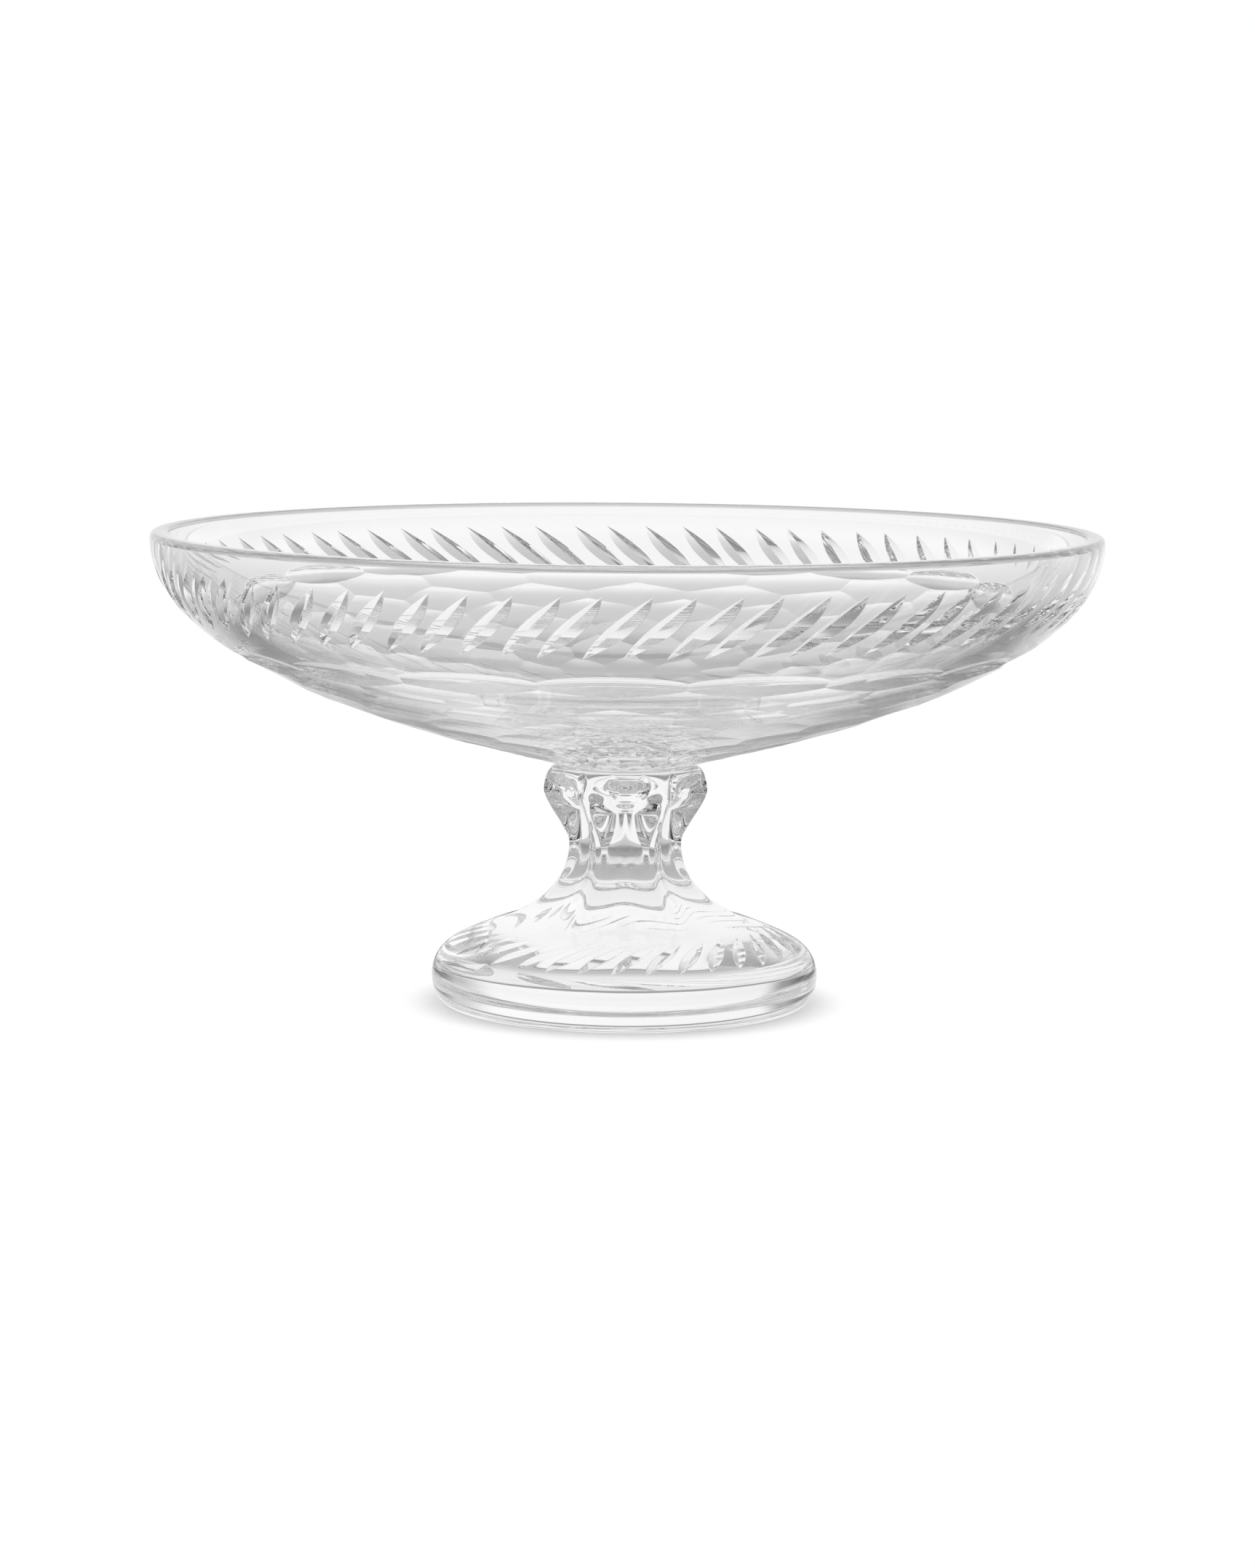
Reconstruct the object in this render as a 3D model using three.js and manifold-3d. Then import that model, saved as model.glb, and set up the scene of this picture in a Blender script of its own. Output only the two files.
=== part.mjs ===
// A footed centrepiece bowl of cut crystal glass, in millimetres, with +Z up.
// It stands on z = 0 with its axis on Z. Azimuth 0 faces -Y, and azimuths grow towards +X.
// Three pieces: the cut bowl, the solid fluted pedestal, and the film of clear cement that bonds them.

import * as THREE from "three";
import { mergeVertices } from "three/addons/utils/BufferGeometryUtils.js";
import Module from "manifold-3d";

// Bowl blank
const RIM_DIAMETER = 300;
const BOWL_HEIGHT = 73.8; // from the seat to the top of the rim
const RIM_WALL = 5.8; // wall at the ground rim
const RIM_EASE_HEIGHT = 2; // the outer edge of the rim is eased over this height
const RIM_EASE_WIDTH = 1.2;
const WALL_DROP = 35.1; // how far the wall's curve is pulled straight down
const UNDERSIDE_REACH = 64.7; // how far the underside's curve is pulled out along its slope
const UNDERSIDE_SLOPE = 12.7; // degrees, at the seat
const SEAT_DIAMETER = 41;
const FLOOR_THICKNESS = 12.5; // glass over the seat, on the axis
const INSIDE_DROP = 34.2; // the same two pulls for the inside
const INSIDE_REACH = 66.3;

// Leaf cuts round the bowl, made on a mitre wheel so large that they are straight
const BOWL_LEAVES = 72;
const BOWL_LEAF_TURN = 4.1; // azimuth of the middle of one leaf
const BOWL_LEAF_MIDDLE = 17.5; // down the wall from the eased edge
const BOWL_LEAF_SLANT = 48; // degrees from level
const BOWL_LEAF_DEPTH = 1.8;
const MITRE_ANGLE = 116; // degrees between the two faces of a leaf

// Ring of long hollows under the leaves, and the rows of shallow hollows from there to the seat
const HOLLOWS_PER_ROW = 18;
const RING_TURN = -1.9; // azimuth of one ring hollow
const RING_MIDDLE = 45.3; // down the wall from the eased edge
const RING_RADIUS = 16;
const RING_DEPTH = 1.65;
const ROW_START = 58; // down the wall to the middle of the first shallow row
const ROW_PITCH = 14.3;
const ROW_RADIUS = 120;
const ROW_DEPTH = 0.6;

// Cement
const CEMENT_THICKNESS = 0.3;

// Pedestal blank, measured over the ridges between its flutes
const PEDESTAL_HEIGHT = 76.4;
const TOP_DIAMETER = 43;
const KNOP_DIAMETER = 52;
const KNOP_DROP = 8.1; // the knop is widest this far under the top
const KNOP_FALL = 4.2; // pulls of the curve from the knop to the waist
const WAIST_RISE = 4;
const WAIST_DIAMETER = 35.6;
const WAIST_DROP = 25.1; // the waist is this far under the top
const WAIST_FALL = 22.2; // pulls of the curve from the waist to the shoulder of the foot
const DOME_REACH = 12;
const DOME_SLOPE = 35.2; // degrees
const SHOULDER_DIAMETER = 112.8;
const SHOULDER_HEIGHT = 18.7;
const FOOT_DIAMETER = 123;
const FOOT_EDGE_HEIGHT = 9; // where the foot is widest
const CONTACT_DIAMETER = 112; // flat ring and disc that stands on the table

// Flutes round the stem, which die out on the dome and are shallow under the band of olives
const FLUTES = 6;
const FLUTE_SHARE = 0.25; // depth at the waist and on the dome, as a share of the radius
const FLUTE_ROUNDNESS = 0.2; // 0 leaves the ridges sharp
const FLUTE_WHEEL = 60; // radius that the middle of a flute follows above the waist
const FLUTE_FULL_DIAMETER = 40; // on the dome, flutes are full inside this and gone outside the next
const FLUTE_END_DIAMETER = 88;
const FLUTE_FADE_DROP = 14.4; // under the knop, they begin to grow shallow this far under the top
const FLUTE_END_DROP = 9.4; // and have done so this far under it
const KNOP_SHARE = 0.65; // share of the depth that is left on the knop

// Olives, which are upright leaf cuts round the knop
const OLIVES = 15;
const OLIVE_TURN = 14.1; // azimuth of one olive
const OLIVE_MIDDLE = 6.2; // down the knop from the edge of the top
const OLIVE_DEPTH = 1.2;
const OLIVE_ANGLE = 130; // degrees
const OLIVE_WHEEL = 30; // radius of the wheel

// Leaf cuts round the foot
const FOOT_LEAVES = 34;
const FOOT_LEAF_TURN = 13; // azimuth of the middle of one leaf
const FOOT_LEAF_DIAMETER = 101.6; // across the middles of opposite leaves
const FOOT_LEAF_SLANT = 48; // degrees from level
const FOOT_LEAF_DEPTH = 1.35;
const FOOT_LEAF_WHEEL = 90; // radius of the wheel

// How finely the round shapes are divided
const BOWL_SEGMENTS = 72;
const WALL_STEPS = 16;
const INSIDE_STEPS = 11;
const PEDESTAL_SEGMENTS = 80;
const CURVE_STEPS = 7;
const CEMENT_SEGMENTS = 48;
const WHEEL_SEGMENTS = 96;
const RING_STEPS = 6; // facets across a ring hollow
const ROW_STEPS = 3;

const WHEEL_HALF_WIDTH = 4;
const CUT_CLEARANCE = 8; // how far a cutter stands out of the glass

const wasm = await Module();
wasm.setup();

const radians = THREE.MathUtils.degToRad;
const point = (r, z) => new THREE.Vector2(r, z);

// A closed geometry as a solid, with shared corners merged and empty triangles dropped.
function solid(geometry) {
  const bare = geometry.clone();
  bare.deleteAttribute("normal");
  bare.deleteAttribute("uv");
  const merged = mergeVertices(bare, 1e-4);
  const corners = [];
  const all = merged.index.array;
  for (let i = 0; i < all.length; i += 3) {
    const [a, b, c] = all.subarray(i, i + 3);
    if (a !== b && b !== c && a !== c) corners.push(a, b, c);
  }
  return new wasm.Manifold(
    new wasm.Mesh({
      numProp: 3,
      vertProperties: merged.attributes.position.array,
      triVerts: new Uint32Array(corners),
    }),
  );
}

function geometryOf(body) {
  const mesh = body.getMesh();
  const geometry = new THREE.BufferGeometry();
  geometry.setAttribute("position", new THREE.BufferAttribute(mesh.vertProperties, 3));
  geometry.setIndex(new THREE.BufferAttribute(mesh.triVerts, 1));
  geometry.computeVertexNormals();
  return geometry;
}

// Turns a profile of (radius, height) points about Z. The profile runs from the axis out, up and back to it.
function turned(profile, segments) {
  return new THREE.LatheGeometry(profile, segments).rotateX(Math.PI / 2);
}

// The frame of a cut: its middle on the glass, and its directions round the axis, down the profile and out.
function frameAt(r, z, alongR, alongZ, azimuth) {
  const a = radians(azimuth);
  const outward = new THREE.Vector3(Math.sin(a), -Math.cos(a), 0);
  const raise = (u, v) => outward.clone().multiplyScalar(u).add(new THREE.Vector3(0, 0, v));
  return {
    middle: raise(r, z),
    round: new THREE.Vector3(Math.cos(a), Math.sin(a), 0),
    down: raise(alongR, alongZ),
    out: raise(-alongZ, alongR),
  };
}

// The frame on a profile curve, at a distance along it from its start.
function frameOn(curve, distance, azimuth) {
  const u = distance / curve.getLength();
  const p = curve.getPointAt(u);
  const t = curve.getTangentAt(u);
  return frameAt(p.x, p.y, t.x, t.y, azimuth);
}

// The direction of a leaf that rises to the right at a slant from level.
function leafDirection(frame, slant) {
  const s = radians(slant);
  return frame.round
    .clone()
    .multiplyScalar(Math.cos(s))
    .addScaledVector(frame.down, -Math.sin(s));
}

// A bar with an outline across it, laid along a direction through the middle of a cut.
function bar(outline, length, frame, across, along) {
  const made = new THREE.ExtrudeGeometry(new THREE.Shape(outline), {
    depth: length,
    bevelEnabled: false,
  });
  made.translate(0, 0, -length / 2);
  const place = new THREE.Matrix4().makeBasis(across, frame.out, along);
  return solid(made.applyMatrix4(place.setPosition(frame.middle)));
}

// The V that a large mitre wheel cuts: straight, with its crease at a depth.
function straightLeaf(frame, slant, depth, angle, length) {
  const along = leafDirection(frame, slant);
  const across = new THREE.Vector3().crossVectors(frame.out, along);
  const half = (CUT_CLEARANCE + depth) * Math.tan(radians(angle / 2));
  const outline = [point(0, -depth), point(half, CUT_CLEARANCE), point(-half, CUT_CLEARANCE)];
  return bar(outline, length, frame, across, along);
}

// A mitre wheel sunk to a depth, with its rim along the leaf.
function wheelLeaf(frame, slant, depth, angle, radius) {
  const along = leafDirection(frame, slant);
  const across = new THREE.Vector3().crossVectors(frame.out, along);
  const edge = WHEEL_HALF_WIDTH / Math.tan(radians(angle / 2));
  const wheel = new THREE.LatheGeometry(
    [
      point(0, -WHEEL_HALF_WIDTH),
      point(radius - edge, -WHEEL_HALF_WIDTH),
      point(radius, 0),
      point(radius - edge, WHEEL_HALF_WIDTH),
      point(0, WHEEL_HALF_WIDTH),
    ],
    WHEEL_SEGMENTS,
  );
  const centre = frame.middle.clone().addScaledVector(frame.out, radius - depth);
  const place = new THREE.Matrix4().makeBasis(along, across, frame.out);
  return solid(wheel.applyMatrix4(place.setPosition(centre)));
}

// A hollow that is straight round the bowl and an arc down the wall.
function hollow(frame, radius, depth, halfHeight, length, steps) {
  const outline = [point(halfHeight, CUT_CLEARANCE), point(-halfHeight, CUT_CLEARANCE)];
  for (let i = 0; i <= steps; i += 1) {
    const x = halfHeight * ((2 * i) / steps - 1);
    outline.push(point(x, radius - depth - Math.sqrt(radius * radius - x * x)));
  }
  const along = new THREE.Vector3().crossVectors(frame.down, frame.out);
  return bar(outline, length, frame, frame.down, along);
}

function cut(blank, cutters) {
  return cutters.reduce((left, cutter) => left.subtract(cutter), blank);
}

const ringOf = (count, turn) => Array.from({ length: count }, (_, i) => turn + (360 * i) / count);

const KNOP_HEIGHT = PEDESTAL_HEIGHT - KNOP_DROP;
const WAIST_HEIGHT = PEDESTAL_HEIGHT - WAIST_DROP;
const SEAT_HEIGHT = PEDESTAL_HEIGHT + CEMENT_THICKNESS;
const RIM_HEIGHT = SEAT_HEIGHT + BOWL_HEIGHT;

// The outside of the bowl, from the eased edge down to the seat.
function bowlWall() {
  const rim = RIM_DIAMETER / 2;
  const start = RIM_HEIGHT - RIM_EASE_HEIGHT;
  const slope = radians(UNDERSIDE_SLOPE);
  const seat = point(SEAT_DIAMETER / 2, SEAT_HEIGHT);
  return new THREE.CubicBezierCurve(
    point(rim, start),
    point(rim, start - WALL_DROP),
    point(Math.cos(slope), Math.sin(slope)).multiplyScalar(UNDERSIDE_REACH).add(seat),
    seat,
  );
}

function bowlBlank(wall) {
  const inner = RIM_DIAMETER / 2 - RIM_WALL;
  const floor = SEAT_HEIGHT + FLOOR_THICKNESS;
  const inside = new THREE.CubicBezierCurve(
    point(inner, RIM_HEIGHT),
    point(inner, RIM_HEIGHT - INSIDE_DROP),
    point(INSIDE_REACH, floor),
    point(0, floor),
  );
  const profile = [
    point(0, SEAT_HEIGHT),
    ...wall.getSpacedPoints(WALL_STEPS).reverse(),
    point(RIM_DIAMETER / 2 - RIM_EASE_WIDTH, RIM_HEIGHT),
    ...inside.getSpacedPoints(INSIDE_STEPS),
  ];
  return solid(turned(profile, BOWL_SEGMENTS));
}

function bowlLeaves(wall) {
  const length = 2 * Math.sqrt(RIM_DIAMETER * BOWL_LEAF_DEPTH);
  return ringOf(BOWL_LEAVES, BOWL_LEAF_TURN).map((azimuth) =>
    straightLeaf(
      frameOn(wall, BOWL_LEAF_MIDDLE, azimuth),
      BOWL_LEAF_SLANT,
      BOWL_LEAF_DEPTH,
      MITRE_ANGLE,
      length,
    ),
  );
}

// One row of hollows, each reaching from the middle of one neighbour to the middle of the other.
function hollowRow(wall, distance, turn, radius, depth, halfHeight, steps) {
  const r = wall.getPointAt(distance / wall.getLength()).x;
  const length = (4 * Math.PI * r) / HOLLOWS_PER_ROW;
  return ringOf(HOLLOWS_PER_ROW, turn).map((azimuth) =>
    hollow(frameOn(wall, distance, azimuth), radius, depth, halfHeight, length, steps),
  );
}

function bowlHollows(wall) {
  const made = hollowRow(wall, RING_MIDDLE, RING_TURN, RING_RADIUS, RING_DEPTH, RING_RADIUS / 2, RING_STEPS);
  const last = wall.getLength() - ROW_PITCH / 2;
  let turn = RING_TURN;
  for (let distance = ROW_START; distance < last; distance += ROW_PITCH) {
    turn += 180 / HOLLOWS_PER_ROW;
    made.push(...hollowRow(wall, distance, turn, ROW_RADIUS, ROW_DEPTH, ROW_PITCH, ROW_STEPS));
  }
  return made;
}

function bowl() {
  const wall = bowlWall();
  return cut(bowlBlank(wall), [...bowlLeaves(wall), ...bowlHollows(wall)]);
}

function cement() {
  const r = Math.min(SEAT_DIAMETER, TOP_DIAMETER) / 2;
  const profile = [
    point(0, PEDESTAL_HEIGHT),
    point(r, PEDESTAL_HEIGHT),
    point(r, SEAT_HEIGHT),
    point(0, SEAT_HEIGHT),
  ];
  return solid(turned(profile, CEMENT_SEGMENTS));
}

// The dome of the foot, from the waist down to the shoulder, over the ridges.
function domeCurve() {
  const slope = radians(DOME_SLOPE);
  const shoulder = point(SHOULDER_DIAMETER / 2, SHOULDER_HEIGHT);
  const back = point(-Math.cos(slope), Math.sin(slope)).multiplyScalar(DOME_REACH);
  return new THREE.CubicBezierCurve(
    point(WAIST_DIAMETER / 2, WAIST_HEIGHT),
    point(WAIST_DIAMETER / 2, WAIST_HEIGHT - WAIST_FALL),
    back.add(shoulder),
    shoulder,
  );
}

// A quarter round from one point to another, leaving the first level or upright.
function quarter(from, to, startsLevel) {
  const k = 0.5523; // the pull with which a cubic curve follows a quarter of a circle
  const corner = startsLevel ? point(to.x, from.y) : point(from.x, to.y);
  return new THREE.CubicBezierCurve(from, from.clone().lerp(corner, k), to.clone().lerp(corner, k), to);
}

function knopCurve() {
  const top = point(TOP_DIAMETER / 2, PEDESTAL_HEIGHT);
  return quarter(top, point(KNOP_DIAMETER / 2, KNOP_HEIGHT), true);
}

function pedestalProfile(knopTop, dome) {
  const knop = point(KNOP_DIAMETER / 2, KNOP_HEIGHT);
  const waist = point(WAIST_DIAMETER / 2, WAIST_HEIGHT);
  const edge = point(FOOT_DIAMETER / 2, FOOT_EDGE_HEIGHT);
  const contact = point(CONTACT_DIAMETER / 2, 0);
  const shoulder = point(SHOULDER_DIAMETER / 2, SHOULDER_HEIGHT);
  const overEdge = (edge.x - shoulder.x) * Math.tan(radians(DOME_SLOPE));
  const curves = [
    knopTop,
    new THREE.CubicBezierCurve(
      knop,
      point(knop.x, knop.y - KNOP_FALL),
      point(waist.x, waist.y + WAIST_RISE),
      waist,
    ),
    dome,
    new THREE.QuadraticBezierCurve(shoulder, point(edge.x, shoulder.y - overEdge), edge),
    quarter(edge, contact, false),
  ];
  const outline = curves.flatMap((curve) => curve.getSpacedPoints(CURVE_STEPS).slice(0, -1));
  return [point(0, PEDESTAL_HEIGHT), ...outline, contact, point(0, 0)].reverse();
}

// How deep the middle of a flute is under the ridges, at a ridge radius and a height.
function fluteDepth(ridge, z) {
  const { smoothstep } = THREE.MathUtils;
  const onDome = 1 - smoothstep(ridge, FLUTE_FULL_DIAMETER / 2, FLUTE_END_DIAMETER / 2);
  if (z < WAIST_HEIGHT) return FLUTE_SHARE * ridge * onDome;
  const middle = (WAIST_DIAMETER / 2) * (1 - FLUTE_SHARE) + (z - WAIST_HEIGHT) ** 2 / (2 * FLUTE_WHEEL);
  const fade = smoothstep(z, PEDESTAL_HEIGHT - FLUTE_FADE_DROP, PEDESTAL_HEIGHT - FLUTE_END_DROP);
  const toTop = 1 - smoothstep(z, KNOP_HEIGHT, PEDESTAL_HEIGHT);
  return (ridge - middle) * (1 - (1 - KNOP_SHARE) * fade) * toTop;
}

// The share of that depth at an azimuth: 1 in the middle of a flute and 0 on a rounded ridge.
function fluteWave(azimuth) {
  const rounded = (x) => Math.hypot(x, FLUTE_ROUNDNESS) - FLUTE_ROUNDNESS;
  return rounded(Math.cos((FLUTES * azimuth) / 2)) / rounded(1);
}

function pedestalBlank(knopTop, dome) {
  const geometry = turned(pedestalProfile(knopTop, dome), PEDESTAL_SEGMENTS);
  const place = geometry.attributes.position;
  for (let i = 0; i < place.count; i += 1) {
    const ridge = Math.hypot(place.getX(i), place.getY(i));
    if (ridge === 0) continue;
    const azimuth = Math.atan2(place.getX(i), -place.getY(i));
    const share = 1 - (fluteDepth(ridge, place.getZ(i)) * fluteWave(azimuth)) / ridge;
    place.setXY(i, place.getX(i) * share, place.getY(i) * share);
  }
  return solid(geometry);
}

// The distance along the dome at which it has a radius.
function distanceAtRadius(curve, radius) {
  let low = 0;
  let high = 1;
  for (let i = 0; i < 40; i += 1) {
    const middle = (low + high) / 2;
    if (curve.getPointAt(middle).x < radius) low = middle;
    else high = middle;
  }
  return low * curve.getLength();
}

function footLeaves(dome) {
  const distance = distanceAtRadius(dome, FOOT_LEAF_DIAMETER / 2);
  return ringOf(FOOT_LEAVES, FOOT_LEAF_TURN).map((azimuth) =>
    wheelLeaf(
      frameOn(dome, distance, azimuth),
      FOOT_LEAF_SLANT,
      FOOT_LEAF_DEPTH,
      MITRE_ANGLE,
      FOOT_LEAF_WHEEL,
    ),
  );
}

// The olives, sunk with the flutes that the knop has.
function olives(knopTop) {
  const { x: ridge, y: z } = knopTop.getPointAt(OLIVE_MIDDLE / knopTop.getLength());
  return ringOf(OLIVES, OLIVE_TURN).map((azimuth) => {
    const frame = frameOn(knopTop, OLIVE_MIDDLE, azimuth);
    const sunk = 1 - (fluteDepth(ridge, z) * fluteWave(radians(azimuth))) / ridge;
    frame.middle.multiply(new THREE.Vector3(sunk, sunk, 1));
    return wheelLeaf(frame, 90, OLIVE_DEPTH, OLIVE_ANGLE, OLIVE_WHEEL);
  });
}

function pedestal() {
  const knopTop = knopCurve();
  const dome = domeCurve();
  return cut(pedestalBlank(knopTop, dome), [...footLeaves(dome), ...olives(knopTop)]);
}

const crystal = new THREE.MeshStandardMaterial({ color: 0xe6ebee, roughness: 0.03, metalness: 0 });
const clearCement = new THREE.MeshStandardMaterial({ color: 0xf2f2ec, roughness: 0.15, metalness: 0 });

function piece(name, body, material) {
  const mesh = new THREE.Mesh(geometryOf(body), material);
  mesh.name = name;
  return mesh;
}

const footedBowl = new THREE.Group();
footedBowl.add(
  piece("bowl", bowl(), crystal),
  piece("cement_film", cement(), clearCement),
  piece("pedestal", pedestal(), crystal),
);

export default footedBowl;
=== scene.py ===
import math

import bpy
import numpy as np
from bpy.props import FloatProperty, FloatVectorProperty, IntProperty, PointerProperty
from mathutils import Matrix, Vector


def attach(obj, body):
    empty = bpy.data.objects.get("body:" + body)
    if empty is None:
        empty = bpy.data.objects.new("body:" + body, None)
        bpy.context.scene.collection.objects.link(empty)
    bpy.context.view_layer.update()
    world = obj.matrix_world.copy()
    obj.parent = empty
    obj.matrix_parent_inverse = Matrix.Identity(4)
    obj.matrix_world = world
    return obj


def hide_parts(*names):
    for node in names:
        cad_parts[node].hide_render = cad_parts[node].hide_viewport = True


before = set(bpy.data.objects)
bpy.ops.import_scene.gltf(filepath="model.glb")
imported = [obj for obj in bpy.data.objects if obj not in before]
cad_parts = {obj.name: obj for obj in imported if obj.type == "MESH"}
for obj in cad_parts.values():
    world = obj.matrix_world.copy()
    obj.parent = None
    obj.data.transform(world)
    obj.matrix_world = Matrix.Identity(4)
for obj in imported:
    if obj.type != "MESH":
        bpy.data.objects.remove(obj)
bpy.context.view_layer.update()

bl_info = {
    "name": "Footed Crystal Bowl",
    "version": (1, 0, 0),
    "blender": (4, 5, 0),
    "location": "View3D > Sidebar > Footed Bowl",
    "description": "Makes a footed bowl of cut crystal from its sizes, and the studio it stands in",
    "category": "Object",
}

MM = 0.001

# How finely curves, rings and searches are divided
CURVE_STEPS = 8001
SEARCH_STEPS = 48
TIP_STEPS = 1601
CREASE_STEPS = 400
INSIDE_RINGS = 44
CEMENT_COLUMNS = 192
CEMENT_RINGS = 7
FLOOR_COLUMNS = 96

# Least slope between a leaf's face and the glass that its depth is worked out for
LEAST_SLOPE = 0.2
# Step from leaf to leaf in the sine that puts each a little off its place
STAGGER_STEP = 2.4
# How far in from a face's corner its normal is read, as a share of the way to the middle
CORNER_INSET = 0.03

# The rounded edges of the rim, as (out, up) from the sharp edge in millimetres
RIM_ROUND_IN = ((0.05, -0.45), (0.28, -0.15), (0.65, 0))
RIM_ROUND_OUT = ((-2, 0), (-1.3, -0.06), (-0.75, -0.3), (-0.35, -0.8), (-0.1, -1.4))
# How far down the inside from the rim its own curve begins
RIM_INSIDE_START = 0.9 * MM

# The cement, as a share of the seat's radius, and how far its side bulges
CEMENT_SHARE = 0.985
CEMENT_BULGE = 0.08 * MM

# The slight waves that hand polishing leaves
POLISH_SCALE = 90
POLISH_STRENGTH = 0.05
POLISH_DEPTH = 0.3 * MM

# Grey levels of the studio as glass sees it, by the part of a direction along X, Y and Z
SIDES = (
    (-1, 0.05), (-0.85, 0.05), (-0.7, 0.35), (-0.55, 0.95), (0.5, 1), (0.75, 0.6), (0.9, 0.12), (1, 0.05),
)
FRONT_TO_BACK = ((-1, 0.05), (-0.5, 0.12), (-0.05, 0.35), (0.35, 0.9), (0.6, 1), (1, 1))
CEILING = ((0.2, 0), (0.45, 0.75), (0.65, 0.35), (0.85, 0.2))
# Painted light and shade on the floor as glass sees it, as grey levels by the distance in metres from the
# axis: a painted shadow under the foot, painted light round its edge, painted shade in a ring under the
# bowl's wall, and white far off
GLASS_FLOOR_PAINTED_LIGHT_AND_SHADE = (
    (0.025, 0.5), (0.045, 0.5), (0.058, 0.95), (0.078, 0.9), (0.12, 0.75),
    (0.155, 0.34), (0.24, 0.27), (0.38, 0.6), (1, 1),
)
# Between these distances the floor that the camera sees goes from this share of white to plain white
SHADOW_ENDS = (0.056, 0.072)
SHADOW_WHITE = (0.45, 1)
FLOOR_LEVEL = -0.1 * MM
FLOOR_RINGS = (0.3, 3, 12)
# Strength of the light from all round on what isn't glass
ROOM_LEVEL = 0.85
LIGHT_BOUNCES = 32

# The camera, where the photograph's rim, foot and outline put it
FOCAL_PIXELS = 5687.3
PICTURE_PIXELS = 2156
SENSOR_HEIGHT = 36
CAMERA_PLACE = (0.0006, -1.3054, 0.2377)
CAMERA_FALL = 7.326  # degrees
CAMERA_ROLL = 0.43


def length(name, description, millimetres):
    """A size in millimetres, kept by Blender in metres."""
    return FloatProperty(
        name=name, description=description, default=millimetres * MM, unit="LENGTH", precision=5
    )


def angle(name, description, degrees):
    """An angle given in degrees, kept by Blender in radians."""
    return FloatProperty(name=name, description=description, default=math.radians(degrees), subtype="ANGLE")


def count(name, description, number):
    """A whole number of cuts."""
    return IntProperty(name=name, description=description, default=number)


def share(name, description, value):
    """A number without a unit."""
    return FloatProperty(name=name, description=description, default=value)


def colour(name, description, value):
    """A colour, with its alpha."""
    return FloatVectorProperty(name=name, description=description, subtype="COLOR", size=4, default=value)


class BowlSizes(bpy.types.PropertyGroup):
    """Sizes of the bowl and of the cuts on it."""

    rim_radius: length("Rim radius", "Radius over the wall at the rim", 150)
    rim_height: length("Rim height", "Height of the rim above the table", 150.5)
    rim_wall: length("Rim wall", "Wall at the ground rim", 5.8)
    rim_ease: length("Rim ease", "Height of the eased outer edge", 2)
    wall_drop: length("Wall drop", "How far the wall's curve is pulled straight down", 35.1)
    under_reach: length("Underside reach", "How far the underside's curve is pulled out", 64.7)
    under_slope: angle("Underside slope", "Slope of the underside at the seat", 12.7)
    seat_radius: length("Seat radius", "Radius of the flat seat under the bowl", 20.5)
    seat_height: length("Seat height", "Height of the seat above the table", 76.7)
    floor_height: length("Floor height", "Height of the inside on the axis", 89.2)
    inside_drop: length("Inside drop", "How far the inside's curve is pulled straight down", 34.2)
    inside_reach: length("Inside reach", "How far the inside's curve is pulled out", 66.3)
    leaves: count("Leaves", "Leaf cuts round the wall", 72)
    leaf_middle: length("Leaf middle", "Distance of a leaf's middle down the wall", 17.5)
    leaf_slant: angle("Leaf slant", "Slant of a leaf from level", 48)
    leaf_depth: length("Leaf depth", "Depth of a leaf's crease", 1.85)
    leaf_turn: angle("Leaf turn", "Azimuth of the middle of the first leaf", 4.1)
    leaf_stagger: angle("Leaf stagger", "How far a leaf may be cut off its place", 0.3)
    mitre_angle: angle("Mitre angle", "Angle between the two faces of a leaf", 116)
    hollows: count("Hollows", "Hollows in each row", 18)
    ring_turn: angle("Ring turn", "Azimuth of the first hollow of the ring", -1.9)
    ring_middle: length("Ring middle", "Distance of the ring of hollows down the wall", 45.3)
    ring_depth: length("Ring depth", "Depth of a ring hollow", 1.65)
    ring_radius: length("Ring radius", "Radius of a ring hollow down the wall", 13.3)
    ring_level: length("Ring level radius", "Radius of a ring hollow round the bowl", 172)
    row_start: length("Row start", "Distance of the first shallow row down the wall", 58)
    row_pitch: length("Row pitch", "Distance from one shallow row to the next", 14.3)
    row_depth: length("Row depth", "Depth of a shallow hollow", 0.6)
    row_ridge: length("Row ridge", "Depth left at the ridge between two hollows of a row", 0.15)
    row_radius: length("Row radius", "Radius of a shallow hollow down the wall", 120)
    edge: length("Polished edge", "Half width of the soft edge that polishing leaves", 0.2)


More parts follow.
